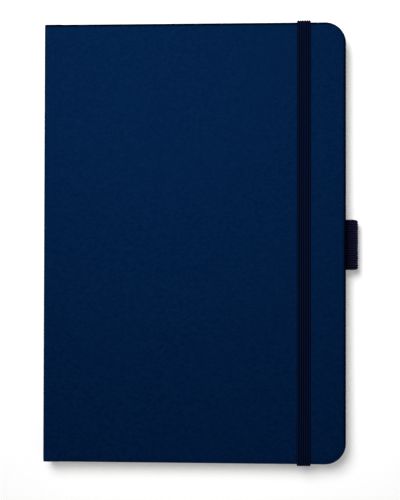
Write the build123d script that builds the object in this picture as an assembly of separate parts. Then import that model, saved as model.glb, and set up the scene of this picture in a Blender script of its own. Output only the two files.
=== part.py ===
from build123d import *
import os

# Pilot logbook: a hard-cover book with a square spine, closed by a ribbed elastic
# band and carrying an elastic pen loop on its fore edge. It lies closed on its back
# cover. The origin is on the middle of the back cover's outer face, +Y points to the
# head of the pages, +X to the fore edge and +Z to the front cover. Millimetres.

# Case
COVER_HEIGHT = 210.0          # head to tail
COVER_WIDTH = 144.5           # spine to fore edge
CORNER_RADIUS = 10.0          # fore-edge corners of both covers
SKIN = 0.4                    # leatherette
BOARD = 2.0
PASTEDOWN = 0.15
TURN_IN = 12.0                # skin folded over onto a board's inner face
SPINE_CARD = 1.0
SPINE_CARD_WIDTH = 12.0

# Book block
LEAF_HEIGHT = 204.0
SECTIONS_PER_HALF = 6
SECTION = 0.796               # eight folded leaves
FOLD_RADIUS = 0.35            # rounded back of a folded section
FLYLEAF = 0.15
PAPER_GAP = 0.05
LEAF_RADIUS = 9.0
SPINE_CLEARANCE = 2.5         # spine's outer face to the back of the block
JOINT_WIDTH = 5.5             # flexible strip between the block's back and a board
FORE_EDGE_OVERHANG = 3.25

# Sewing and spine lining
THREAD = 0.3
STITCH_LENGTH = 24.0
STITCH_CENTRES = (-75.0, -25.0, 25.0, 75.0)
KETTLE_STITCH_Y = 93.0
LINING = 0.3
LINING_HEIGHT = 196.0
HEADBAND_TAPE = 0.2
HEADBAND_TAPE_HEIGHT = 8.0
HEADBAND_BEAD_RADIUS = 0.55

# Elastic closure
ELASTIC_WIDTH = 6.5
ELASTIC = 0.85                # thickness
ELASTIC_FROM_FORE_EDGE = 20.0
ELASTIC_TAB = 0.8             # pressed end under the pastedown
ELASTIC_TAB_LENGTH = 22.0
ELASTIC_RETURN = 5.0          # part of each end wrap that lies on the front cover
ELASTIC_BEND_RADIUS = 0.7
ELASTIC_CLEARANCE = 0.05

# Pen loop
LOOP_WIDTH = 24.0             # along the fore edge
LOOP_CENTRE_Y = -0.9
LOOP_PROJECTION = 6.3         # beyond the fore edge
LOOP_HALF_X = 4.35
LOOP_HALF_Z = 4.5
LOOP_CENTRE_Z = 7.4
LOOP_WALL = 0.9
LOOP_TAB = 0.7
LOOP_TAB_LENGTH = 20.0
LOOP_RISER = 0.65

# Worked out from the sizes above
FORE_X = COVER_WIDTH / 2
SPINE_X = -COVER_WIDTH / 2
HALF_HEIGHT = COVER_HEIGHT / 2
HALF_LEAF = LEAF_HEIGHT / 2
BLOCK_X = SPINE_X + SPINE_CLEARANCE
BOARD_X = BLOCK_X + JOINT_WIDTH
LEAF_X = FORE_X - FORE_EDGE_OVERHANG
BOARD_TOP = SKIN + BOARD
COVER_TOP = BOARD_TOP + PASTEDOWN
FLYLEAF_Z = COVER_TOP + PAPER_GAP
SECTION_Z = FLYLEAF_Z + FLYLEAF + PAPER_GAP
HALF_BLOCK_TOP = SECTION_Z + SECTIONS_PER_HALF * SECTION
MID_Z = HALF_BLOCK_TOP + PAPER_GAP / 2
THICKNESS = 2 * MID_Z
ELASTIC_X = FORE_X - ELASTIC_FROM_FORE_EDGE
MID_PLANE = Plane(origin=(0, 0, MID_Z), z_dir=(0, 0, 1))


def block(x0, x1, y0, y1, z0, z1):
    """Box between two corners."""
    centre = ((x0 + x1) / 2, (y0 + y1) / 2, (z0 + z1) / 2)
    return Pos(*centre) * Box(x1 - x0, y1 - y0, z1 - z0)


def sheet(x0, x1, half_height, z0, z1, radius=0.0):
    """Flat sheet whose two fore-edge corners are rounded."""
    flat = block(x0, x1, -half_height, half_height, z0, z1)
    if radius == 0:
        return flat
    corners = flat.edges().filter_by(Axis.Z).group_by(Axis.X)[-1]
    return fillet(corners, radius)


def to_front(shape):
    """Matching part of the front half, mirrored about the middle of the block."""
    return mirror(shape, about=MID_PLANE)


def to_tail(shape):
    """Matching part at the tail, mirrored about the middle of the height."""
    return mirror(shape, about=Plane.XZ)


def make_board():
    """Stiff board, stepped round its inner margin where the skin is folded in."""
    edge = FORE_X - SKIN
    half = HALF_HEIGHT - SKIN
    radius = CORNER_RADIUS - SKIN
    body = sheet(BOARD_X, edge, half, SKIN, BOARD_TOP - SKIN, radius)
    field = sheet(BOARD_X, edge + SKIN - TURN_IN, half + SKIN - TURN_IN, BOARD_TOP - SKIN, BOARD_TOP)
    return body + field


def make_cover_skin(board):
    """Leatherette over the board's outer face, edges and inner margin."""
    outside = sheet(BOARD_X, FORE_X, HALF_HEIGHT, 0, BOARD_TOP, CORNER_RADIUS)
    return outside - board


def make_joint_skin():
    """Flexible leatherette from the board, round the corner, to the spine card."""
    card_edge = MID_Z - SPINE_CARD_WIDTH / 2
    flat = block(SPINE_X, BOARD_X, -HALF_HEIGHT, HALF_HEIGHT, 0, SKIN)
    upright = block(SPINE_X, SPINE_X + SKIN, -HALF_HEIGHT, HALF_HEIGHT, SKIN, card_edge)
    inner = HALF_HEIGHT - TURN_IN
    turn_in = block(SPINE_X + SKIN, BOARD_X, inner, HALF_HEIGHT, SKIN, 2 * SKIN)
    return flat + upright + turn_in + to_tail(turn_in)


def make_pastedown():
    """Endpaper glued over the board."""
    return sheet(BOARD_X, LEAF_X, HALF_LEAF, BOARD_TOP, COVER_TOP, LEAF_RADIUS)


def make_endpaper_hinge():
    """Endpaper that crosses the flexible joint to the back of the block."""
    return block(BLOCK_X, BOARD_X, -HALF_LEAF, HALF_LEAF, BOARD_TOP, COVER_TOP)


def make_flyleaf():
    """Free leaf of the endpaper."""
    return sheet(BLOCK_X, LEAF_X, HALF_LEAF, FLYLEAF_Z, FLYLEAF_Z + FLYLEAF, LEAF_RADIUS)


def make_section(level):
    """Folded section of the block, counted up from the back cover."""
    bottom = SECTION_Z + level * SECTION
    leaves = sheet(BLOCK_X, LEAF_X, HALF_LEAF, bottom, bottom + SECTION, LEAF_RADIUS)
    fold = leaves.edges().filter_by(Axis.Y).group_by(Axis.X)[0]
    return fillet(fold, FOLD_RADIUS)


def make_sewing_thread():
    """Stitches across the folds of one half, with a kettle stitch at head and tail."""
    outer = BLOCK_X - THREAD
    runs = []
    for level in range(SECTIONS_PER_HALF):
        middle = SECTION_Z + (level + 0.5) * SECTION
        for centre in STITCH_CENTRES:
            start = centre - STITCH_LENGTH / 2
            end = centre + STITCH_LENGTH / 2
            runs.append(block(outer, BLOCK_X, start, end, middle - THREAD / 2, middle + THREAD / 2))
    start = KETTLE_STITCH_Y - THREAD / 2
    end = KETTLE_STITCH_Y + THREAD / 2
    kettle = block(outer, BLOCK_X, start, end, SECTION_Z, HALF_BLOCK_TOP)
    return runs + [kettle, to_tail(kettle)]


def make_spine_lining():
    """Cloth and paper glued over the stitches on the back of the block."""
    outer = BLOCK_X - THREAD - LINING
    top = THICKNESS - SECTION_Z
    half = LINING_HEIGHT / 2
    return block(outer, outer + LINING, -half, half, SECTION_Z, top)


def make_headband():
    """Woven bead over the head of the back, on a tape glued to the lining."""
    inset = 0.1
    bottom = SECTION_Z + inset
    top = THICKNESS - SECTION_Z - inset
    face = BLOCK_X - THREAD - LINING
    bead_y = HALF_LEAF + HEADBAND_BEAD_RADIUS + inset
    tape_start = HALF_LEAF - HEADBAND_TAPE_HEIGHT
    tape = block(face - HEADBAND_TAPE, face, tape_start, bead_y, bottom, top)
    bead_x = face - HEADBAND_TAPE + HEADBAND_BEAD_RADIUS
    bead = Pos(bead_x, bead_y, MID_Z) * Cylinder(HEADBAND_BEAD_RADIUS, top - bottom)
    return tape + bead


def make_spine_card():
    """Card that stiffens the spine, stepped at both ends for the folded skin."""
    outer = SPINE_X + SKIN
    inner = outer + SPINE_CARD
    low = MID_Z - SPINE_CARD_WIDTH / 2
    high = MID_Z + SPINE_CARD_WIDTH / 2
    half = HALF_HEIGHT - SKIN
    field_half = HALF_HEIGHT - TURN_IN
    body = block(outer, inner - SKIN, -half, half, low, high)
    field = block(inner - SKIN, inner, -field_half, field_half, low, high)
    return body + field


def make_spine_skin(card):
    """Leatherette over the spine card, folded in at head and tail."""
    low = MID_Z - SPINE_CARD_WIDTH / 2
    high = MID_Z + SPINE_CARD_WIDTH / 2
    inner = SPINE_X + SKIN + SPINE_CARD
    return block(SPINE_X, inner, -HALF_HEIGHT, HALF_HEIGHT, low, high) - card


def make_elastic_tab():
    """Pressed end of the band, glued into the back board under the pastedown."""
    end = HALF_LEAF + 0.2
    x0 = ELASTIC_X - ELASTIC_WIDTH / 2
    x1 = ELASTIC_X + ELASTIC_WIDTH / 2
    return block(x0, x1, end - ELASTIC_TAB_LENGTH, end, BOARD_TOP - ELASTIC_TAB, BOARD_TOP)


def make_elastic_wrap():
    """Band from the back cover's inner margin, outside the head, onto the front."""
    x0 = ELASTIC_X - ELASTIC_WIDTH / 2
    x1 = ELASTIC_X + ELASTIC_WIDTH / 2
    inner_y = HALF_HEIGHT + ELASTIC_CLEARANCE
    outer_y = inner_y + ELASTIC
    low = BOARD_TOP + ELASTIC_CLEARANCE
    top = THICKNESS + ELASTIC_CLEARANCE + ELASTIC
    foot = block(x0, x1, HALF_LEAF + 0.25, outer_y, low, low + ELASTIC)
    upright = block(x0, x1, inner_y, outer_y, low, top)
    lying = block(x0, x1, HALF_HEIGHT - ELASTIC_RETURN, outer_y, top - ELASTIC, top)
    wrap = foot + upright + lying
    bends = wrap.edges().filter_by(Axis.X).group_by(Axis.Y)[-1]
    return fillet(bends, ELASTIC_BEND_RADIUS)


def make_elastic_run():
    """Straight run of the band down the front cover."""
    bottom = THICKNESS + ELASTIC_CLEARANCE
    half = HALF_HEIGHT - ELASTIC_RETURN
    x0 = ELASTIC_X - ELASTIC_WIDTH / 2
    return block(x0, x0 + ELASTIC_WIDTH, -half, half, bottom, bottom + ELASTIC)


def make_pen_loop_tab():
    """Both ends of the loop's webbing, glued into the back board."""
    y0 = LOOP_CENTRE_Y - LOOP_WIDTH / 2
    y1 = LOOP_CENTRE_Y + LOOP_WIDTH / 2
    riser_end = FORE_X + LOOP_PROJECTION - 2 * LOOP_HALF_X + 0.1
    riser_start = riser_end - LOOP_RISER
    bottom = BOARD_TOP - LOOP_TAB
    flat = block(riser_start - LOOP_TAB_LENGTH, riser_end, y0, y1, bottom, BOARD_TOP)
    riser = block(riser_start, riser_end, y0, y1, bottom, BOARD_TOP + 1.0)
    return flat + riser


def make_pen_loop():
    """Oval sleeve of webbing, open along Y, with the foot that meets its tab."""
    centre_x = FORE_X + LOOP_PROJECTION - LOOP_HALF_X
    y0 = LOOP_CENTRE_Y - LOOP_WIDTH / 2
    y1 = LOOP_CENTRE_Y + LOOP_WIDTH / 2
    section = Plane(origin=(centre_x, y1, LOOP_CENTRE_Z), x_dir=(1, 0, 0), z_dir=(0, -1, 0))
    outer = extrude(section * Ellipse(LOOP_HALF_X, LOOP_HALF_Z), LOOP_WIDTH)
    hole = section * Ellipse(LOOP_HALF_X - LOOP_WALL, LOOP_HALF_Z - LOOP_WALL)
    foot_start = centre_x - LOOP_HALF_X + 0.15
    foot_bottom = BOARD_TOP + 0.35
    foot = block(foot_start, centre_x, y0, y1, foot_bottom, foot_bottom + 0.65)
    return outer + foot - extrude(hole, LOOP_WIDTH)


def make_nodes():
    """Every separate piece, by name."""
    nodes = {}
    plain_board = make_board()
    plain_skin = make_cover_skin(plain_board)
    head_tab = make_elastic_tab()
    tail_tab = to_tail(head_tab)
    loop_tab = make_pen_loop_tab()
    nodes["back_board"] = plain_board - head_tab - tail_tab - loop_tab
    nodes["back_cover_skin"] = plain_skin - head_tab - tail_tab - loop_tab
    nodes["front_board"] = to_front(plain_board)
    nodes["front_cover_skin"] = to_front(plain_skin)
    pairs = {
        "joint_skin": make_joint_skin(),
        "pastedown": make_pastedown(),
        "endpaper_hinge": make_endpaper_hinge(),
        "flyleaf": make_flyleaf(),
    }
    for name, shape in pairs.items():
        nodes["back_" + name] = shape
        nodes["front_" + name] = to_front(shape)
    for level in range(SECTIONS_PER_HALF):
        section = make_section(level)
        nodes[f"signature_{2 * SECTIONS_PER_HALF - level:02d}"] = section
        nodes[f"signature_{level + 1:02d}"] = to_front(section)
    stitches = make_sewing_thread()
    nodes["back_sewing_thread"] = Compound(stitches)
    nodes["front_sewing_thread"] = Compound([to_front(stitch) for stitch in stitches])
    nodes["spine_lining"] = make_spine_lining()
    headband = make_headband()
    nodes["head_headband"] = headband
    nodes["tail_headband"] = to_tail(headband)
    card = make_spine_card()
    nodes["spine_card"] = card
    nodes["spine_skin"] = make_spine_skin(card)
    nodes["elastic_head_tab"] = head_tab
    nodes["elastic_tail_tab"] = tail_tab
    wrap = make_elastic_wrap()
    nodes["elastic_head_wrap"] = wrap
    nodes["elastic_tail_wrap"] = to_tail(wrap)
    nodes["elastic_front_run"] = make_elastic_run()
    nodes["pen_loop_tab"] = loop_tab
    nodes["pen_loop"] = make_pen_loop()
    return nodes


os.makedirs("parts", exist_ok=True)
for node, shape in make_nodes().items():
    export_step(shape, f"parts/{node}.step")
print(f"closed size {COVER_WIDTH} x {COVER_HEIGHT} x {THICKNESS:.3f} mm")
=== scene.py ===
import bmesh
import bpy
import math
import random
from mathutils import Matrix, Vector


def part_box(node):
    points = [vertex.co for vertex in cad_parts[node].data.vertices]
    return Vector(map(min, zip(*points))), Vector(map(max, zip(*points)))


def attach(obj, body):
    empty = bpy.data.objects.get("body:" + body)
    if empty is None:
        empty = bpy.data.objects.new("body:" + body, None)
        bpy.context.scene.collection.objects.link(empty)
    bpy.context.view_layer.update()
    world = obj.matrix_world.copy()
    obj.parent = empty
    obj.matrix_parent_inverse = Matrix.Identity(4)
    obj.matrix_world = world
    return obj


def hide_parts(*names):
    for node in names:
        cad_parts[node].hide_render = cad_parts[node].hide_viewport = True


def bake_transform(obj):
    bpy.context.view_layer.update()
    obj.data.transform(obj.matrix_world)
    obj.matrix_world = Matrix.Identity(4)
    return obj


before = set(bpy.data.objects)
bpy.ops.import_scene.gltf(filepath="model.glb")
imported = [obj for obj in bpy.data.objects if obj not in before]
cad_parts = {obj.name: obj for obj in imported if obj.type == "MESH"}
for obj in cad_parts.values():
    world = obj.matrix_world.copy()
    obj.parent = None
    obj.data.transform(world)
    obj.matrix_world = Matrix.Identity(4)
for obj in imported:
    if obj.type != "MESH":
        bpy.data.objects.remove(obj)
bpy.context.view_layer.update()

# Pilot logbook: leatherette case, sewn leaves, endpapers, ribbed elastic band and pen loop.
# Meshes are worked out in millimetres from the boxes of the CAD nodes, and stored in metres.
# Each new mesh keeps its points at rest, in millimetres, as the attribute "rest" for its material.

MM = 0.001
random.seed(7)


def box(node):
    """Lowest and highest corner of a CAD node, in millimetres."""
    low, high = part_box(node)
    return [value / MM for value in low], [value / MM for value in high]


# Boxes of the CAD nodes that places are worked out from.
SKIN_LOW, SKIN_HIGH = box("back_cover_skin")
SPINE_LOW, SPINE_HIGH = box("spine_skin")
PASTE_LOW, PASTE_HIGH = box("back_pastedown")
LEAF_LOW, LEAF_HIGH = box("back_flyleaf")
BAND_LOW, BAND_HIGH = box("elastic_front_run")
WRAP_LOW, WRAP_HIGH = box("elastic_head_wrap")
BAND_TAB_LOW, BAND_TAB_HIGH = box("elastic_head_tab")
LOOP_LOW, LOOP_HIGH = box("pen_loop")
LOOP_TAB_LOW = box("pen_loop_tab")[0]

# Case and leaves.
FORE_X = SKIN_HIGH[0]
BOARD_X = SKIN_LOW[0]
SPINE_X = box("back_joint_skin")[0][0]
BLOCK_X = LEAF_LOW[0]
HALF_HEIGHT = SKIN_HIGH[1]
HALF_LEAF = LEAF_HIGH[1]
TOP = box("front_cover_skin")[1][2]
MID_Z = TOP / 2
COVER_DEPTH = SKIN_HIGH[2] - SKIN_LOW[2]
CARD_EDGE = SPINE_LOW[2]
SPINE_DEPTH = SPINE_HIGH[0] - SPINE_LOW[0]
# Half height over which the ruled sheet turns. Its leaves' inner faces lie just outside it, and stay flat.
FOLD_REACH = 0.045
CORNER_RADIUS = 10.0
LEAF_RADIUS = 9.0
CORNER_TURN = 0.9           # radius of the leatherette round the spine's corners
SKIN_PAIR = 0.8             # leatherette and its turn-in, where there is no board
GROOVE_X = SPINE_X + 4.2
GROOVE_WIDTH = 1.1
GROOVE_DEPTH = 0.10
LEAVES_PER_SECTION = 8
LEAF_THICKNESS = 0.088
LEAF_SLACK = 0.22           # most that a leaf stops short of the fore edge
LEAF_LIFT = 0.12            # most that a sheet is out of line towards head or tail
ENDPAPER_THICKNESS = 0.13
SPREAD_ROOM = 0.11          # space left for the ruled sheet on each side of the middle opening
HEADBAND_RADIUS = 0.55
THREAD_RADIUS = 0.14
STITCH_CENTRES = (-75.0, -25.0, 25.0, 75.0)
STITCH_HALF_LENGTH = 12.0

# Roll of the leatherette over an edge: inset from the outline, and depth as a share of the thickness.
EDGE_ROLL = ((4.0, 0.0), (2.2, 0.004), (1.1, 0.02), (0.55, 0.07), (0.2, 0.17), (0.03, 0.33), (0.0, 0.52),
             (0.02, 0.70), (0.15, 0.87), (0.42, 0.97), (0.9, 1.0), (4.0, 1.0))

# Elastic band and pen loop.
BAND_WIDTH = BAND_HIGH[0] - BAND_LOW[0]
BAND_THICKNESS = BAND_HIGH[2] - BAND_LOW[2]
BAND_X = (BAND_LOW[0] + BAND_HIGH[0]) / 2
BAND_Z = (BAND_LOW[2] + BAND_HIGH[2]) / 2
BAND_RIBS = 6
RIB_HEIGHT_BAND = 0.34
LOOP_WIDTH = LOOP_HIGH[1] - LOOP_LOW[1]
LOOP_RIBS = 21
RIB_HEIGHT_LOOP = 0.40
LOOP_THICKNESS = 0.9
LOOP_HALF_Z = 4.5           # outside half height of the sleeve
LOOP_TAPER = 0.04           # share by which the sleeve's ends are drawn in where it bulges most
STITCH = 0.62               # pitch of the knitted stitches

# Colours of the leatherette and the elastic.
LEATHER_LIGHT = (0.0009, 0.0118, 0.0450, 1)
LEATHER_MIDDLE = (0.0006, 0.0088, 0.0380, 1)
LEATHER_DARK = (0.0004, 0.0058, 0.0310, 1)
# Painted shade of the leatherette's edge roll, along the head and the fore edge.
LEATHER_EDGE_SHADE = (0.0002, 0.0007, 0.0035, 1)
BAND_RIDGE = (0.0029, 0.0090, 0.0360, 1)
# Painted shade in the gaps between the band's ribs.
BAND_GAP_SHADE = (0.0000, 0.0001, 0.0030, 1)
LOOP_RIDGE = (0.0135, 0.0125, 0.0515, 1)
# Painted shade in the gaps between the pen loop's ribs.
LOOP_GAP_SHADE = (0.0000, 0.0001, 0.0018, 1)

# Floor, lamps and camera, in metres, watts and radians except where named.
FLOOR_HALF = 4.0
FLOOR_DROP = 0.00005
FLOOR_GLOW = 0.24
KEY_PLACE = (-0.14, 0.27, 0.8)
KEY_AIM = (0, 0.07, 0)
KEY_SPREAD = 1.1
KEY_SIZE = (0.34, 0.42)
KEY_POWER = 1.065
FILL_PLACE = (0.9, -0.2, 0.9)
FILL_SIZE = (1.2, 1.2)
FILL_POWER = 0.5
WORLD_STRENGTH = 0.16
CAMERA_AIM = (0.00294, -0.00351, TOP * MM)
CAMERA_DISTANCE = 0.6
CAMERA_LENS = 90.62         # millimetres
CAMERA_TURNS = ((0.12, "Z"), (3.34, "Y"), (0.909, "X"))    # degrees


# ---------------------------------------------------------------- meshes

def mesh_object(name, shape, material, smooth=True):
    """New object from a shape: a list of points in millimetres and a list of faces.

    Faces with more than four corners are caps, and stay flat-shaded.
    """
    points, faces = shape
    mesh = bpy.data.meshes.new(name)
    mesh.from_pydata([[value * MM for value in point] for point in points], [], faces)
    rest = mesh.attributes.new("rest", "FLOAT_VECTOR", "POINT")
    rest.data.foreach_set("vector", [value for point in points for value in point])
    grown = bmesh.new()
    grown.from_mesh(mesh)
    bmesh.ops.recalc_face_normals(grown, faces=grown.faces)
    grown.to_mesh(mesh)
    grown.free()
    rounded = [smooth and len(face.vertices) <= 4 for face in mesh.polygons]
    mesh.polygons.foreach_set("use_smooth", rounded)
    mesh.materials.append(material)
    mesh.update()
    piece = bpy.data.objects.new(name, mesh)
    bpy.context.scene.collection.objects.link(piece)
    return piece


def spread(start, end, count):
    """Evenly spaced values, both ends included."""
    return [start + (end - start) * step / count for step in range(count + 1)]


def rounded_path(corners, radii, steps=6):
    """Polyline whose inner corners are replaced by arcs."""
    path = [corners[0]]
    for before, corner, after, radius in zip(corners, corners[1:], corners[2:], radii):
        ax, ay = before[0] - corner[0], before[1] - corner[1]
        bx, by = after[0] - corner[0], after[1] - corner[1]
        la, lb = math.hypot(ax, ay), math.hypot(bx, by)
        ax, ay, bx, by = ax / la, ay / la, bx / lb, by / lb
        half = math.acos(max(-1.0, min(1.0, ax * bx + ay * by))) / 2
        reach = min(radius / math.tan(half), la * 0.5, lb * 0.5)
        radius = reach * math.tan(half)
        mx, my = ax + bx, ay + by
        lm = math.hypot(mx, my)
        sine = math.sin(half)
        centre = (corner[0] + mx / lm * radius / sine, corner[1] + my / lm * radius / sine)
        start = math.atan2(corner[1] + ay * reach - centre[1], corner[0] + ax * reach - centre[0])
        end = math.atan2(corner[1] + by * reach - centre[1], corner[0] + bx * reach - centre[0])
        turn = (end - start + math.pi) % (2 * math.pi) - math.pi
        for step in range(steps + 1):
            angle = start + turn * step / steps
            path.append((centre[0] + radius * math.cos(angle), centre[1] + radius * math.sin(angle)))
    path.append(corners[-1])
    return path


def densify(path, longest):
    """Path with no step longer than longest."""
    dense = [path[0]]
    for before, after in zip(path, path[1:]):
        steps = max(1, math.ceil(math.dist(before, after) / longest))
        for step in range(1, steps + 1):
            dense.append(tuple(a + (b - a) * step / steps for a, b in zip(before, after)))
    return dense


def path_normals(path):
    """Unit normals on the left of a flat path."""
    normals = []
    last = len(path) - 1
    for index in range(len(path)):
        before, after = path[max(0, index - 1)], path[min(last, index + 1)]
        dx, dy = after[0] - before[0], after[1] - before[1]
        length = math.hypot(dx, dy) or 1.0
        normals.append((-dy / length, dx / length))
    return normals


def tube_faces(rings, around):
    """Quads between rings of points, closed by a cap at each end."""
    faces = []
    for ring in range(rings - 1):
        for step in range(around):
            a = ring * around + step
            b = ring * around + (step + 1) % around
            faces.append((a, b, b + around, a + around))
    faces.append(tuple(reversed(range(around))))
    faces.append(tuple(range((rings - 1) * around, rings * around)))
    return faces


# ---------------------------------------------------------------- leatherette case

def cover_stations():
    """Outline of a back cover from its spine edge to the middle of its fore edge.

    Each station is (outline point, outward direction, surface normal, thickness).
    The back cover is described; its outer face looks down.
    """
    stations = []
    z_face = SKIN_LOW[2]
    for x, depth in joint_profile():
        stations.append(((x, HALF_HEIGHT, z_face), (0, 1), (0, 0, -1), depth))
    centre = (FORE_X - CORNER_RADIUS, HALF_HEIGHT - CORNER_RADIUS)
    for angle in spread(90, 0, 14):
        out = (math.cos(math.radians(angle)), math.sin(math.radians(angle)))
        point = (centre[0] + CORNER_RADIUS * out[0], centre[1] + CORNER_RADIUS * out[1], z_face)
        stations.append((point, out, (0, 0, -1), COVER_DEPTH))
    return stations


def joint_profile():
    """Places along the head edge from the spine's corner to the fore-edge corner, with thickness."""
    places = [(SPINE_X + CORNER_TURN, SKIN_PAIR)]
    places += [(x, SKIN_PAIR) for x in spread(SPINE_X + CORNER_TURN + 0.7, BOARD_X - 0.9, 9)]
    places += [(BOARD_X - 0.45, 0.95), (BOARD_X - 0.15, 1.6), (BOARD_X + 0.15, 2.2)]
    places.append((BOARD_X + 0.5, COVER_DEPTH))
    start = BOARD_X + 2.5
    places += [(x, COVER_DEPTH) for x in spread(start, FORE_X - CORNER_RADIUS - 3.0, 40)]
    return places


def groove(x):
    """Depth of the faint crease where the cover flexes."""
    return GROOVE_DEPTH * math.exp(-((x - GROOVE_X) / GROOVE_WIDTH) ** 2)


def spine_stations(top):
    """Stations round the spine's corner and up its outer face, from top down to the cover."""
    stations = []
    for z in spread(top, SKIN_LOW[2] + CORNER_TURN, max(3, round((top - CORNER_TURN) / 0.9))):
        thick = SPINE_DEPTH if z > CARD_EDGE + 0.3 else SKIN_PAIR
        stations.append(((SPINE_X, HALF_HEIGHT, z), (0, 1), (-1, 0, 0), thick))
    for angle in spread(0, 90, 6)[1:-1]:
        turn = math.radians(angle)
        normal = (-math.cos(turn), 0, -math.sin(turn))
        point = (SPINE_X + CORNER_TURN + CORNER_TURN * normal[0], HALF_HEIGHT,
                 SKIN_LOW[2] + CORNER_TURN + CORNER_TURN * normal[2])
        stations.append((point, (0, 1), normal, SKIN_PAIR))
    return stations


def case_shape(top):
    """Closed leatherette body of the back cover, its joint and the spine up to top."""
    stations = spine_stations(top) + cover_stations()
    count = len(stations)
    rows = 64
    fore_y = HALF_HEIGHT - CORNER_RADIUS
    points = []

    def place(station, side, inset, share):
        (x, y, z), out, normal, thick = station
        depth = share * thick
        sink = groove(x) if share == 0 and normal[2] == -1 else 0.0
        return (x - out[0] * inset - normal[0] * (depth + sink),
                side * (y - out[1] * inset),
                z - normal[2] * (depth + sink))

    def fore(y, inset, share):
        return (FORE_X - inset, y, SKIN_LOW[2] + share * COVER_DEPTH)

    fore_rows = spread(fore_y, -fore_y, rows)[1:-1]
    loop_length = 2 * count + len(fore_rows)
    for inset, share in EDGE_ROLL:
        points += [place(station, 1, inset, share) for station in stations]
        points += [fore(y, inset, share) for y in fore_rows]
        points += [place(station, -1, inset, share) for station in reversed(stations)]
    faces = []
    rolls = len(EDGE_ROLL)
    for roll in range(rolls - 1):
        for step in range(loop_length - 1):
            a = roll * loop_length + step
            faces.append((a, a + loop_length, a + loop_length + 1, a + 1))

    def face_grid(roll, flip):
        """Fill of the flat part inside the loop of one roll."""
        first = roll * loop_length
        columns = []
        for index in range(count - 1):
            head = first + index
            tail = first + loop_length - 1 - index
            column = [head]
            for row in range(1, rows):
                share = row / rows
                point = [a + (b - a) * share for a, b in zip(points[head], points[tail])]
                points.append(tuple(point))
                column.append(len(points) - 1)
            columns.append(column + [tail])
        columns.append([first + count - 1 + row for row in range(rows + 1)])
        for left, right in zip(columns, columns[1:]):
            for row in range(rows):
                quad = (left[row], left[row + 1], right[row + 1], right[row])
                faces.append(tuple(reversed(quad)) if flip else quad)
        return columns[0]

    outer = face_grid(0, False)
    inner = face_grid(rolls - 1, True)
    head_edge = [roll * loop_length for roll in range(rolls)]
    tail_edge = [roll * loop_length + loop_length - 1 for roll in range(rolls)]
    faces.append(tuple(outer[1:-1] + tail_edge + inner[-2:0:-1] + head_edge[::-1]))
    return points, faces


def to_front(shape):
    """Shape mirrored from the back half to the front half."""
    points, faces = shape
    return [(x, y, 2 * MID_Z - z) for x, y, z in points], faces


def to_tail(shape):
    """Shape mirrored from the head to the tail."""
    points, faces = shape
    return [(x, -y, z) for x, y, z in points], faces


# ---------------------------------------------------------------- paper

def leaf_half_height(x, half, right, radius):
    """Half height of a leaf with rounded fore-edge corners, at x."""
    into = x - (right - radius)
    if into <= 0:
        return half
    return half - radius + math.sqrt(max(0.0, radius * radius - into * into))


def leaf_columns(left, right, radius):
    """Places along a leaf, close together round its corners."""
    columns = spread(left, right - radius, 10)
    columns += [right - radius + radius * math.sin(math.radians(angle))
                for angle in spread(0, 90, 9)[1:]]
    return columns


def paper_shape(profile, thickness, half, right, radius, rows=1):
    """Thin closed sheet of paper that follows a profile of (x, z) points."""
    normals = path_normals(profile)
    points = []
    for (x, z), (nx, nz) in zip(profile, normals):
        reach = leaf_half_height(x, half, right, radius)
        for side in (0.5, -0.5):
            for y in spread(reach, -reach, rows):
                points.append((x + nx * side * thickness, y, z + nz * side * thickness))
    ring = 2 * (rows + 1)
    order = list(range(rows + 1)) + list(range(ring - 1, rows, -1))
    faces = []
    for index in range(len(profile) - 1):
        for step in range(ring):
            a = index * ring + order[step]
            b = index * ring + order[(step + 1) % ring]
            faces.append((a, a + ring, b + ring, b))
    faces.append(tuple(order))
    faces.append(tuple((len(profile) - 1) * ring + step for step in reversed(order)))
    return points, faces


def join_shapes(shapes):
    """One list of points and faces from several."""
    points, faces = [], []
    for more_points, more_faces in shapes:
        start = len(points)
        points += more_points
        faces += [tuple(start + index for index in face) for face in more_faces]
    return points, faces


def section_shape(low, high):
    """Nested folded sheets of one section between two heights."""
    shapes = []
    sheets = LEAVES_PER_SECTION // 2
    middle = (low + high) / 2
    pitch = (high - low) / LEAVES_PER_SECTION
    for sheet in range(sheets):
        gap = (sheets - sheet - 0.5) * pitch
        fold = BLOCK_X + 0.02 + sheet * pitch
        slack = random.uniform(0.0, LEAF_SLACK)
        lift = random.uniform(-LEAF_LIFT, LEAF_LIFT)
        right = LEAF_HIGH[0] - slack
        profile = [(x, middle - gap) for x in reversed(leaf_columns(fold + gap, right, LEAF_RADIUS))]
        turn = [(fold + gap - gap * math.sin(math.radians(a)), middle - gap * math.cos(math.radians(a)))
                for a in spread(0, 180, 6)[1:-1]]
        profile += turn
        right = LEAF_HIGH[0] - random.uniform(0.0, LEAF_SLACK)
        profile += [(x, middle + gap) for x in leaf_columns(fold + gap, right, LEAF_RADIUS)]
        points, faces = paper_shape(profile, LEAF_THICKNESS, HALF_LEAF - 0.14, LEAF_HIGH[0], LEAF_RADIUS)
        shapes.append(([(x, y + lift, z) for x, y, z in points], faces))
    return join_shapes(shapes)


# ---------------------------------------------------------------- webbing

def webbing_section(width, thickness, ribs, rib_height, samples=8, uneven=0.0):
    """Closed cross-section of ribbed elastic: (across, height) points. Ribs may differ in height."""
    upper = []
    steps = ribs * samples
    tops = [thickness / 2 - random.uniform(0.0, uneven) for _ in range(ribs + 1)]
    for step in range(steps + 1):
        across = -width / 2 + width * step / steps
        wave = abs(math.sin(math.pi * step / samples))
        edge = min(step, steps - step) / samples
        crown = math.sqrt(min(1.0, edge * 2.0 + 0.12))
        height = tops[step // samples] * crown - rib_height * (1 - wave ** 0.8)
        upper.append((across, max(height, 0.06)))
    lower = [(across, -height) for across, height in reversed(upper)]
    return upper + lower


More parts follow.
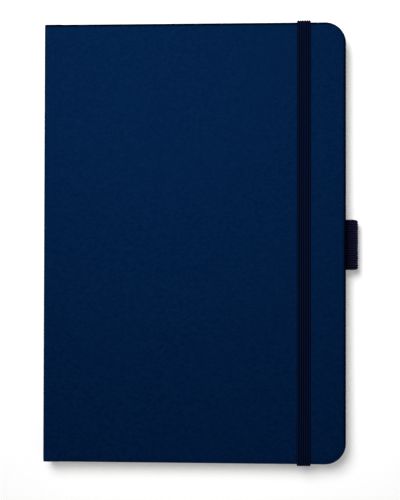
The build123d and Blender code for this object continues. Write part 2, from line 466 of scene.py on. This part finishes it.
def tight_ends(path, gap=0.02):
    """Path with one more point just inside each end, so that smooth shading stops short of the caps."""
    ends = []
    for end, inner in ((path[0], path[1]), (path[-1], path[-2])):
        share = gap / math.dist(end, inner)
        ends.append(tuple(a + (b - a) * share for a, b in zip(end, inner)))
    return [path[0], ends[0]] + path[1:-1] + [ends[1], path[-1]]


def sweep(path, section, side):
    """Points and faces of a section carried along a flat path.

    side is the place of the path's plane and the axis across it: ("x", value) or ("y", value).
    """
    path = tight_ends(path)
    normals = path_normals(path)
    points = []
    for (u, v), (nu, nv) in zip(path, normals):
        for across, height in section:
            a, b = u + nu * height, v + nv * height
            if side[0] == "x":
                points.append((side[1] + across, a, b))
            else:
                points.append((a, side[1] + across, b))
    return points, tube_faces(len(path), len(section))


# ---------------------------------------------------------------- materials

class Nodes:
    """Small helper that builds a node material."""

    def __init__(self, name):
        self.material = bpy.data.materials.new(name)
        self.material.use_nodes = True
        self.tree = self.material.node_tree
        self.shader = self.tree.nodes["Principled BSDF"]

    def add(self, kind, values=None, **settings):
        node = self.tree.nodes.new(kind)
        for key, value in settings.items():
            setattr(node, key, value)
        for key, value in (values or {}).items():
            self.feed(node.inputs[key], value)
        return node

    def feed(self, socket, value):
        if hasattr(value, "is_output"):
            self.tree.links.new(value, socket)
        else:
            socket.default_value = value

    def math(self, operation, a, b=0.0):
        return self.add("ShaderNodeMath", {0: a, 1: b}, operation=operation).outputs[0]

    def mix(self, share, a, b):
        node = self.add("ShaderNodeMix", data_type="RGBA")
        self.feed(node.inputs[0], share)
        self.feed(node.inputs[6], a)
        self.feed(node.inputs[7], b)
        return node.outputs[2]

    def ramp(self, value, low, high):
        """value mapped from low..high to 0..1."""
        node = self.add("ShaderNodeMapRange", {"Value": value, "From Min": low, "From Max": high})
        return node.outputs[0]

    def rest(self):
        """Point at rest, in millimetres."""
        return self.add("ShaderNodeAttribute", attribute_name="rest").outputs["Vector"]

    def object_mm(self):
        """Point on a CAD node, in millimetres."""
        place = self.add("ShaderNodeTexCoord").outputs["Object"]
        return self.add("ShaderNodeVectorMath", {0: place, 3: 1 / MM}, operation="SCALE").outputs[0]

    def noise(self, place, scale, detail=3.0):
        values = {"Vector": place, "Scale": scale, "Detail": detail}
        return self.add("ShaderNodeTexNoise", values).outputs["Fac"]

    def bump(self, height, distance, strength=1.0, normal=None):
        values = {"Height": height, "Distance": distance, "Strength": strength}
        if normal is not None:
            values["Normal"] = normal
        return self.add("ShaderNodeBump", values).outputs[0]

    def finish(self, colour, roughness, normal=None, **sockets):
        self.feed(self.shader.inputs["Base Color"], colour)
        self.feed(self.shader.inputs["Roughness"], roughness)
        if normal is not None:
            self.feed(self.shader.inputs["Normal"], normal)
        for key, value in sockets.items():
            self.shader.inputs[key.replace("_", " ")].default_value = value
        return self.material


def leatherette():
    """Navy leatherette with a fine pebble grain, and painted shade along the head and the fore edge."""
    n = Nodes("navy_leatherette")
    place = n.rest()
    cells = n.add("ShaderNodeTexVoronoi", {"Vector": place, "Scale": 1.25, "Randomness": 0.9},
                  feature="SMOOTH_F1").outputs["Distance"]
    fine = n.noise(place, 2.6, 4.0)
    broad = n.noise(place, 0.035, 2.0)
    stretched = n.add("ShaderNodeVectorMath", {0: place, 1: (0.8, 1.0, 1.0)}, operation="MULTIPLY")
    mottle = n.noise(stretched.outputs[0], 0.68, 1.0)
    grain = n.math("ADD", n.math("MULTIPLY", cells, 0.16), n.math("MULTIPLY", fine, 0.10))
    grain = n.math("ADD", grain, n.math("MULTIPLY", mottle, 0.9))
    tint = n.mix(n.ramp(grain, 0.30, 0.80), LEATHER_LIGHT, LEATHER_DARK)
    colour = n.mix(n.math("MULTIPLY", n.ramp(broad, 0.3, 0.7), 0.35), tint, LEATHER_MIDDLE)
    axes = n.add("ShaderNodeSeparateXYZ", {0: place}).outputs
    from_head = n.math("SUBTRACT", HALF_HEIGHT, axes[1])
    from_edge = n.math("MINIMUM", from_head, n.math("SUBTRACT", FORE_X, axes[0]))
    # Painted shade: the colour goes dark within 0.7 to 1.5 mm of the head and the fore edge, where the edge
    # rolls over; the same mask also raises the roughness there.
    edge_shade_mask = n.math("SUBTRACT", 1.0, n.ramp(from_edge, 0.7, 1.5))
    colour = n.mix(edge_shade_mask, colour, LEATHER_EDGE_SHADE)
    roughness = n.math("ADD", 0.40, n.math("MULTIPLY", fine, 0.16))
    roughness = n.math("ADD", roughness, n.math("MULTIPLY", edge_shade_mask, 0.45))
    normal = n.bump(grain, 0.00008, 1.0)
    return n.finish(colour, roughness, normal, Specular_IOR_Level=0.08,
                    Specular_Tint=(0.02, 0.28, 1.0, 1))


def elastic(name, axis, middle, pitch, ridge, gap, sheen, cover_shade_over=None):
    """Knitted elastic: slanting stitches on each rib, and painted shade in the gaps between the ribs and in
    the low parts of the stitches.

    axis is the axis across the ribs, and middle a gap between two ribs on it. The last argument is the
    stretch of x over which painted shade from the cover's edge fades, from dark to full colour.
    """
    n = Nodes(name)
    place = n.rest()
    axes = n.add("ShaderNodeSeparateXYZ", {0: place}).outputs
    phase = n.math("MULTIPLY", n.math("SUBTRACT", axes[axis], middle), math.pi / pitch)
    rib = n.math("ABSOLUTE", n.math("SINE", phase))
    along = n.math("ADD", axes[1 - axis], axes[2])
    slant = n.math("ADD", n.math("MULTIPLY", along, 2 * math.pi / STITCH), n.math("MULTIPLY", rib, 2.2))
    stitch = n.math("ADD", n.math("MULTIPLY", n.math("SINE", slant), 0.5), 0.5)
    fuzz = n.noise(place, 5.0, 4.0)
    height = n.math("ADD", n.math("MULTIPLY", stitch, 0.5), n.math("MULTIPLY", fuzz, 0.5))
    # Painted shade: the colour goes dark in the gaps between the ribs and where the stitches and fuzz sit
    # low.
    shade = n.math("MULTIPLY", n.ramp(rib, 0.22, 1.0), n.ramp(height, -0.25, 0.75))
    # Painted shade: the colour is multiplied by 0.22 at the cover's edge, rising along x to 1.18 towards the
    # outer side of the loop, where the cover no longer shades it.
    if cover_shade_over:
        painted_cover_shade = n.math("ADD", 0.22, n.math("MULTIPLY", n.ramp(axes[0], *cover_shade_over), 0.96))
        shade = n.math("MULTIPLY", shade, painted_cover_shade)
    colour = n.mix(shade, gap, ridge)
    normal = n.bump(height, 0.00008, 0.9)
    return n.finish(colour, 0.85, normal, Specular_IOR_Level=0.02, Sheen_Weight=sheen,
                    Sheen_Roughness=0.4, Sheen_Tint=(0.45, 0.45, 1.0, 1))


def paper(name, tone):
    """Uncoated paper with faint fibres."""
    n = Nodes(name)
    place = n.rest()
    fibres = n.noise(place, 1.6, 5.0)
    cloud = n.noise(place, 0.05, 2.0)
    darker = [channel * 0.93 for channel in tone[:3]] + [1]
    colour = n.mix(n.ramp(fibres, 0.35, 0.7), darker, tone)
    colour = n.mix(n.math("MULTIPLY", n.ramp(cloud, 0.35, 0.65), 0.25), colour, darker)
    normal = n.bump(fibres, 0.00002, 0.6)
    return n.finish(colour, 0.85, normal, Specular_IOR_Level=0.25)


def plain_cad(name, colour, roughness, scale, depth):
    """Finish for a CAD node that keeps its own mesh."""
    n = Nodes(name)
    place = n.object_mm()
    speck = n.noise(place, scale, 5.0)
    darker = [channel * 0.72 for channel in colour[:3]] + [1]
    tint = n.mix(n.ramp(speck, 0.3, 0.7), darker, colour)
    return n.finish(tint, roughness, n.bump(speck, depth, 0.7), Specular_IOR_Level=0.25)


def cad_finish(material, *nodes):
    """Give CAD nodes a material."""
    for node in nodes:
        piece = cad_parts[node]
        piece.data.materials.clear()
        piece.data.materials.append(material)


LEATHER = leatherette()
# The gap colours of both elastics are painted shade.
BAND_ELASTIC = elastic("band_elastic", 0, BAND_X, BAND_WIDTH / BAND_RIBS, BAND_RIDGE, BAND_GAP_SHADE, 0.0)
# The pen loop's elastic also has painted shade that darkens it towards the cover's edge.
LOOP_ELASTIC = elastic("loop_elastic", 1, LOOP_LOW[1], LOOP_WIDTH / LOOP_RIBS, LOOP_RIDGE, LOOP_GAP_SHADE, 0.06,
                       (FORE_X + 0.5, LOOP_HIGH[0] - 1.0))
PAGE = paper("ivory_page", (0.84, 0.80, 0.69, 1))
ENDPAPER = paper("ivory_endpaper", (0.76, 0.72, 0.61, 1))


def log_page():
    """Page with the ruled columns and rows of a flight log, and no words."""
    n = Nodes("ruled_log_page")
    place = n.rest()
    axes = n.add("ShaderNodeSeparateXYZ", {0: place}).outputs
    fibres = n.noise(place, 1.6, 5.0)
    page = n.mix(n.ramp(fibres, 0.35, 0.7), (0.745, 0.71, 0.61, 1), (0.80, 0.765, 0.66, 1))
    left, right, low, high = -60.0, 63.0, -92.0, 90.0
    pitch, line = 7.0, 0.11

    def near(value, target, reach):
        return n.math("LESS_THAN", n.math("ABSOLUTE", n.math("SUBTRACT", value, target)), reach)

    inside_x = near(axes[0], (left + right) / 2, (right - left) / 2)
    inside_y = near(axes[1], (low + high) / 2, (high - low) / 2)
    inside = n.math("MULTIPLY", inside_x, inside_y)
    rows = n.math("LESS_THAN", n.math("MODULO", n.math("SUBTRACT", axes[1], low), pitch), 2 * line)
    columns = near(axes[0], left + line, line)
    for place_x in (-44.0, -26.0, -8.0, 4.0, 16.0, 28.0, 40.0, right - line):
        columns = n.math("MAXIMUM", columns, near(axes[0], place_x, line))
    ruled = n.math("MULTIPLY", n.math("MAXIMUM", rows, columns), inside)
    heading = n.math("MULTIPLY", near(axes[1], high - pitch + 0.5, pitch - 0.5), inside_x)
    colour = n.mix(n.math("MULTIPLY", heading, 0.35), page, (0.45, 0.55, 0.66, 1))
    colour = n.mix(n.math("MULTIPLY", ruled, 0.7), colour, (0.16, 0.24, 0.36, 1))
    return n.finish(colour, 0.85, n.bump(fibres, 0.00002, 0.6), Specular_IOR_Level=0.25)


def striped_headband():
    """Woven headband: slanting navy and ivory stripes."""
    n = Nodes("striped_headband")
    place = n.rest()
    axes = n.add("ShaderNodeSeparateXYZ", {0: place}).outputs
    slant = n.math("ADD", axes[2], n.math("MULTIPLY", axes[0], 0.5))
    wave = n.math("SINE", n.math("MULTIPLY", slant, 2 * math.pi / 0.9))
    stripe = n.ramp(wave, -0.2, 0.2)
    colour = n.mix(stripe, (0.012, 0.03, 0.13, 1), (0.72, 0.69, 0.60, 1))
    thread = n.math("SINE", n.math("MULTIPLY", slant, 2 * math.pi / 0.3))
    return n.finish(colour, 0.75, n.bump(thread, 0.00004, 0.8), Specular_IOR_Level=0.3)


def mull():
    """Open-weave cloth over paper on the back of the block."""
    n = Nodes("mull_lining")
    place = n.rest()
    axes = n.add("ShaderNodeSeparateXYZ", {0: place}).outputs
    warp = n.math("SINE", n.math("MULTIPLY", axes[1], 2 * math.pi / 0.9))
    weft = n.math("SINE", n.math("MULTIPLY", axes[2], 2 * math.pi / 0.9))
    weave = n.math("MAXIMUM", warp, weft)
    colour = n.mix(n.ramp(weave, 0.1, 0.8), (0.50, 0.45, 0.35, 1), (0.74, 0.71, 0.63, 1))
    return n.finish(colour, 0.9, n.bump(weave, 0.00008, 0.7), Specular_IOR_Level=0.2)


def linen_thread():
    """Waxed sewing thread with a twist."""
    n = Nodes("waxed_thread")
    place = n.rest()
    axes = n.add("ShaderNodeSeparateXYZ", {0: place}).outputs
    twist = n.math("SINE", n.math("MULTIPLY", n.math("ADD", axes[1], axes[2]), 2 * math.pi / 0.45))
    colour = n.mix(n.ramp(twist, -0.8, 0.8), (0.60, 0.56, 0.46, 1), (0.80, 0.77, 0.68, 1))
    return n.finish(colour, 0.6, n.bump(twist, 0.00004, 0.7), Specular_IOR_Level=0.35)


RULED = log_page()
HEADBAND = striped_headband()
MULL = mull()
THREAD = linen_thread()
GREYBOARD = plain_cad("greyboard", (0.36, 0.33, 0.28, 1), 0.9, 0.9, 0.00008)


# ---------------------------------------------------------------- pieces of the case

def make_case():
    """Both covers with their joints, and the spine."""
    back = mesh_object("back_case_leather", case_shape(SPINE_HIGH[2]), LEATHER)
    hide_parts("back_cover_skin", "back_joint_skin", "spine_skin")
    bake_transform(back)
    front = mesh_object("front_case_leather", to_front(case_shape(CARD_EDGE)), LEATHER)
    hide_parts("front_cover_skin", "front_joint_skin")
    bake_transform(front)
    cad_finish(GREYBOARD, "front_board", "back_board", "spine_card")


# ---------------------------------------------------------------- endpapers and leaves

def endpaper_shape():
    """Back pastedown with the hinge that reaches the back of the block."""
    z = (PASTE_LOW[2] + PASTE_HIGH[2]) / 2
    hinge = spread(BLOCK_X, BOARD_X + 4.0, 40)
    columns = hinge + leaf_columns(BOARD_X + 6.0, PASTE_HIGH[0], LEAF_RADIUS)
    profile = [(x, z) for x in columns]
    return paper_shape(profile, ENDPAPER_THICKNESS, HALF_LEAF, PASTE_HIGH[0], LEAF_RADIUS)


def flyleaf_shape():
    """Back flyleaf, with close columns where it bends."""
    z = (LEAF_LOW[2] + LEAF_HIGH[2]) / 2
    right = LEAF_HIGH[0] - 0.15
    columns = spread(BLOCK_X + 0.05, BLOCK_X + 18.0, 18)
    columns += leaf_columns(BLOCK_X + 20.0, right, LEAF_RADIUS)
    profile = [(x, z) for x in columns]
    return paper_shape(profile, ENDPAPER_THICKNESS, HALF_LEAF - 0.1, right, LEAF_RADIUS)


def make_endpapers():
    """Pastedowns, hinges and flyleaves at both covers."""
    back = mesh_object("back_endpaper", endpaper_shape(), ENDPAPER, smooth=False)
    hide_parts("back_pastedown", "back_endpaper_hinge")
    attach(back, "back_half")
    front = mesh_object("front_endpaper", to_front(endpaper_shape()), ENDPAPER, smooth=False)
    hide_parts("front_pastedown", "front_endpaper_hinge")
    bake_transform(front)
    back_fly = mesh_object("back_flyleaf_sheet", flyleaf_shape(), ENDPAPER, smooth=False)
    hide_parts("back_flyleaf")
    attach(back_fly, "back_half")
    front_fly = mesh_object("front_flyleaf_sheet", to_front(flyleaf_shape()), ENDPAPER, smooth=False)
    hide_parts("front_flyleaf")
    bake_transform(front_fly)


def make_sections():
    """Twelve folded sections of eight leaves."""
    for number in range(1, 13):
        node = f"signature_{number:02d}"
        low, high = box(node)
        bottom = low[2] + (SPREAD_ROOM if number == 6 else 0.0)
        top = high[2] - (SPREAD_ROOM if number == 7 else 0.0)
        section = mesh_object(f"leaves_{number:02d}", section_shape(bottom, top), PAGE, smooth=False)
        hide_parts(node)
        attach(section, "front_half" if number <= 6 else "back_half")


def make_middle_spread():
    """Ruled sheet that joins the two pages of the middle opening across the gutter.

    Its fold lies further from the hinge than the spine lining, so that it arches over the lining
    when the book is open.
    """
    offset = 0.085
    fold_x = BLOCK_X + 0.15
    right = LEAF_HIGH[0] - 0.05
    columns = leaf_columns(BLOCK_X + 0.3, right, LEAF_RADIUS)
    profile = [(x, MID_Z - offset) for x in reversed(columns)]
    profile += [(fold_x, MID_Z + z) for z in spread(-FOLD_REACH, FOLD_REACH, 10)]
    profile += [(x, MID_Z + offset) for x in columns]
    shape = paper_shape(profile, 0.07, HALF_LEAF - 0.05, right, LEAF_RADIUS)
    sheet = mesh_object("middle_spread", shape, RULED, smooth=False)
    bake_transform(sheet)


# ---------------------------------------------------------------- back of the block

def round_section(radius, steps):
    """Circle as a closed section."""
    return [(radius * math.cos(2 * math.pi * k / steps), radius * math.sin(2 * math.pi * k / steps))
            for k in range(steps)]


def make_lining():
    """Cloth lining glued over the sewing."""
    low, high = box("spine_lining")
    x = (low[0] + high[0]) / 2
    profile = [(x, z) for z in spread(low[2], high[2], 32)]
    shape = paper_shape(profile, high[0] - low[0], high[1], LEAF_HIGH[0], LEAF_RADIUS)
    lining = mesh_object("spine_lining_cloth", shape, MULL, smooth=False)
    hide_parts("spine_lining")
    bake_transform(lining)


def make_headbands():
    """Striped bead with its tape at head and tail."""
    low, high = box("head_headband")
    bead_x = high[0] - HEADBAND_RADIUS
    bead_y = high[1] - HEADBAND_RADIUS
    heights = spread(low[2], high[2], 36)
    points = []
    section = round_section(HEADBAND_RADIUS, 12)
    for z in heights:
        points += [(bead_x + a, bead_y + b, z) for a, b in section]
    bead = points, tube_faces(len(heights), len(section))
    tape_profile = [(low[0] + 0.1, z) for z in heights]
    half_tape = (bead_y - low[1]) / 2
    tape_points, tape_faces = paper_shape(tape_profile, 0.18, half_tape, LEAF_HIGH[0], LEAF_RADIUS)
    middle = (bead_y + low[1]) / 2
    tape = [(x, y + middle, z) for x, y, z in tape_points], tape_faces
    head = join_shapes([bead, tape])
    for end, shape in (("head", head), ("tail", to_tail(head))):
        band = mesh_object(f"{end}_band", shape, HEADBAND)
        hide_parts(f"{end}_headband")
        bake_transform(band)


def stitch_shape(start, end, z):
    """One visible stitch that dips into the fold at both ends."""
    section = round_section(THREAD_RADIUS, 8)
    points = []
    steps = 10
    for step in range(steps + 1):
        share = step / steps
        y = start + (end - start) * share
        dip = 0.35 * (1 - min(1.0, min(share, 1 - share) * 8))
        points += [(BLOCK_X - THREAD_RADIUS + dip + a, y, z + b) for a, b in section]
    return points, tube_faces(steps + 1, len(section))


def make_sewing():
    """Stitches of both halves, one row to each section."""
    for half, numbers in (("front", range(1, 7)), ("back", range(7, 13))):
        stitches = []
        for number in numbers:
            low, high = box(f"signature_{number:02d}")
            z = (low[2] + high[2]) / 2
            stitches += [stitch_shape(y - STITCH_HALF_LENGTH, y + STITCH_HALF_LENGTH, z)
                         for y in STITCH_CENTRES]
        thread = mesh_object(f"{half}_sewing", join_shapes(stitches), THREAD)
        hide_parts(f"{half}_sewing_thread")
        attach(thread, f"{half}_half")


# ---------------------------------------------------------------- elastic band and pen loop

BAND_SECTION = webbing_section(BAND_WIDTH, BAND_THICKNESS, BAND_RIBS, RIB_HEIGHT_BAND)


def wrap_shape():
    """Band from its glued end, over the cover's margin and round the head, to the front."""
    tab_z = (BAND_TAB_LOW[2] + BAND_TAB_HIGH[2]) / 2
    foot_z = WRAP_LOW[2] + BAND_THICKNESS / 2
    outer_y = WRAP_HIGH[1] - BAND_THICKNESS / 2
    corners = [(BAND_TAB_LOW[1], tab_z), (HALF_LEAF - 0.4, tab_z), (HALF_LEAF + 1.2, foot_z),
               (outer_y, foot_z), (outer_y, BAND_Z), (BAND_HIGH[1], BAND_Z)]
    path = densify(rounded_path(corners, (1.5, 1.2, 0.6, 0.8)), 0.7)
    return sweep(path, BAND_SECTION, ("x", BAND_X))


def run_shape():
    """Head half of the run down the front cover."""
    path = [(y, BAND_Z) for y in spread(BAND_HIGH[1], 0.0, 48)]
    return sweep(path, BAND_SECTION, ("x", BAND_X))


def make_band():
    """Closure band: wraps round head and tail, and two halves of the front run."""
    for end, sign in (("head", 1), ("tail", -1)):
        wrap = wrap_shape() if sign > 0 else to_tail(wrap_shape())
        run = run_shape() if sign > 0 else to_tail(run_shape())
        piece = mesh_object(f"band_{end}_wrap", wrap, BAND_ELASTIC)
        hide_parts(f"elastic_{end}_tab", f"elastic_{end}_wrap")
        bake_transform(piece)
        piece = mesh_object(f"band_{end}_run", run, BAND_ELASTIC)
        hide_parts("elastic_front_run")
        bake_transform(piece)


def make_pen_loop():
    """Ribbed webbing: glued end, oval sleeve and second glued end on top of the first."""
    middle_y = (LOOP_HIGH[1] + LOOP_LOW[1]) / 2
    half_x = (LOOP_HIGH[0] - LOOP_LOW[0] - LOOP_THICKNESS) / 2
    centre_x = (LOOP_HIGH[0] + LOOP_LOW[0]) / 2
    half_z = LOOP_HALF_Z - LOOP_THICKNESS / 2
    centre_z = LOOP_HIGH[2] - LOOP_HALF_Z
    tab_z = (LOOP_TAB_LOW[2] + PASTE_LOW[2]) / 2
    corners = [(LOOP_TAB_LOW[0], tab_z), (LEAF_HIGH[0] - 0.2, tab_z),
               (centre_x - 2.6, centre_z - half_z), (centre_x, centre_z - half_z)]
    path = rounded_path(corners, (1.2, 2.5))
    for angle in spread(-90, 195, 44)[1:]:
        turn = math.radians(angle)
        path.append((centre_x + half_x * math.cos(turn), centre_z + half_z * math.sin(turn)))
    path += [(centre_x - half_x + 0.15, centre_z - 2.6), (centre_x - half_x + 0.4, centre_z - half_z + 0.75)]
    section = webbing_section(LOOP_WIDTH, LOOP_THICKNESS, LOOP_RIBS, RIB_HEIGHT_LOOP, samples=6,
                              uneven=0.16)
    points, faces = sweep(densify(path, 1.2), section, ("y", middle_y))
    drawn_in = []
    for x, y, z in points:
        bulge = max(0.0, (x - centre_x) / half_x)
        drawn_in.append((x, middle_y + (y - middle_y) * (1 - LOOP_TAPER * bulge ** 4), z))
    loop = mesh_object("pen_loop_webbing", (drawn_in, faces), LOOP_ELASTIC)
    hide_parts("pen_loop", "pen_loop_tab")
    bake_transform(loop)


# ---------------------------------------------------------------- floor, light and camera

def make_stage():
    """Plain white floor."""
    mesh = bpy.data.meshes.new("floor")
    corners = [(x * FLOOR_HALF, y * FLOOR_HALF, 0) for x, y in ((-1, -1), (1, -1), (1, 1), (-1, 1))]
    mesh.from_pydata(corners, [], [(0, 1, 2, 3)])
    floor = bpy.data.objects.new("floor", mesh)
    floor.location.z = -FLOOR_DROP
    bpy.context.scene.collection.objects.link(floor)
    n = Nodes("white_floor")
    n.shader.inputs["Emission Color"].default_value = (1, 1, 1, 1)
    n.shader.inputs["Emission Strength"].default_value = FLOOR_GLOW
    mesh.materials.append(n.finish((0.92, 0.92, 0.92, 1), 0.9, None, Specular_IOR_Level=0.0))


def area_light(name, location, target, size, power, spread_angle=math.pi):
    """Soft rectangular lamp aimed at a point."""
    data = bpy.data.lights.new(name, "AREA")
    data.shape = "RECTANGLE"
    data.size, data.size_y = size
    data.energy = power
    data.spread = spread_angle
    lamp = bpy.data.objects.new(name, data)
    lamp.location = location
    aim = Vector(target) - Vector(location)
    lamp.rotation_euler = aim.to_track_quat("-Z", "Y").to_euler()
    bpy.context.scene.collection.objects.link(lamp)
    return lamp


def make_lights():
    """Soft key above the head, weak fill and a dim white world."""
    area_light("key", KEY_PLACE, KEY_AIM, KEY_SIZE, KEY_POWER, KEY_SPREAD)
    area_light("fill", FILL_PLACE, (0, 0, 0), FILL_SIZE, FILL_POWER)
    world = bpy.data.worlds.new("studio")
    world.use_nodes = True
    background = world.node_tree.nodes["Background"].inputs
    background["Color"].default_value = (1, 1, 1, 1)
    background["Strength"].default_value = WORLD_STRENGTH
    bpy.context.scene.world = world


def make_camera():
    """Camera almost straight above the front cover, a little towards the fore edge."""
    turn = Matrix.Identity(4)
    for degrees, axis in CAMERA_TURNS:
        turn = turn @ Matrix.Rotation(math.radians(degrees), 4, axis)
    back_off = Matrix.Translation((0, 0, CAMERA_DISTANCE))
    data = bpy.data.cameras.new("camera")
    data.lens = CAMERA_LENS
    data.sensor_width = 36.0
    camera = bpy.data.objects.new("camera", data)
    camera.matrix_world = Matrix.Translation(CAMERA_AIM) @ turn @ back_off
    bpy.context.scene.collection.objects.link(camera)
    bpy.context.scene.camera = camera
    bpy.context.scene.view_settings.view_transform = "Standard"


make_case()
make_endpapers()
make_sections()
make_middle_spread()
make_lining()
make_headbands()
make_sewing()
make_band()
make_pen_loop()
make_stage()
make_lights()
make_camera()
